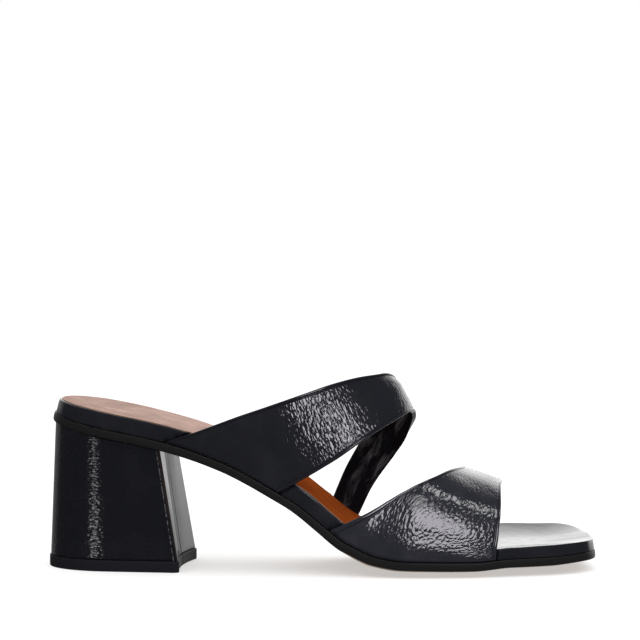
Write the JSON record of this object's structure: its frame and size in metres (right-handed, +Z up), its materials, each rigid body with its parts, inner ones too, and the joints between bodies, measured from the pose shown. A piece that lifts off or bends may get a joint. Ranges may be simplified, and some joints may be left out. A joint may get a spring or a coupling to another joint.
{
  "type": "block heel sandal",
  "caption": "Backless block heel sandal for the right foot with two wide diagonal patent straps, a wrapped footbed, a leather sock and a flared block heel.",
  "frame": {"origin": "on the floor under the middle of the whole sandal", "axes": "+X from the heel to the toe, +Y to the inner side of the foot, +Z up"},
  "size_m": [0.2438, 0.083, 0.0871],
  "materials": {
    "sole": "satin black-brown sole edge",
    "footbed_patent": "smooth black patent",
    "sock_leather": "semi-gloss tan",
    "strap_patent": "crinkled black patent",
    "heel_patent": "crinkled black patent over a block",
    "heel_tip": "matt black"
  },
  "bodies": {
    "root": {"outsole": "sole", "footbed": "footbed_patent", "sock": "sock_leather", "instep_strap": "strap_patent", "toe_strap": "strap_patent", "heel_block": "heel_patent", "top_piece": "heel_tip"}
  },
  "joints": []
}
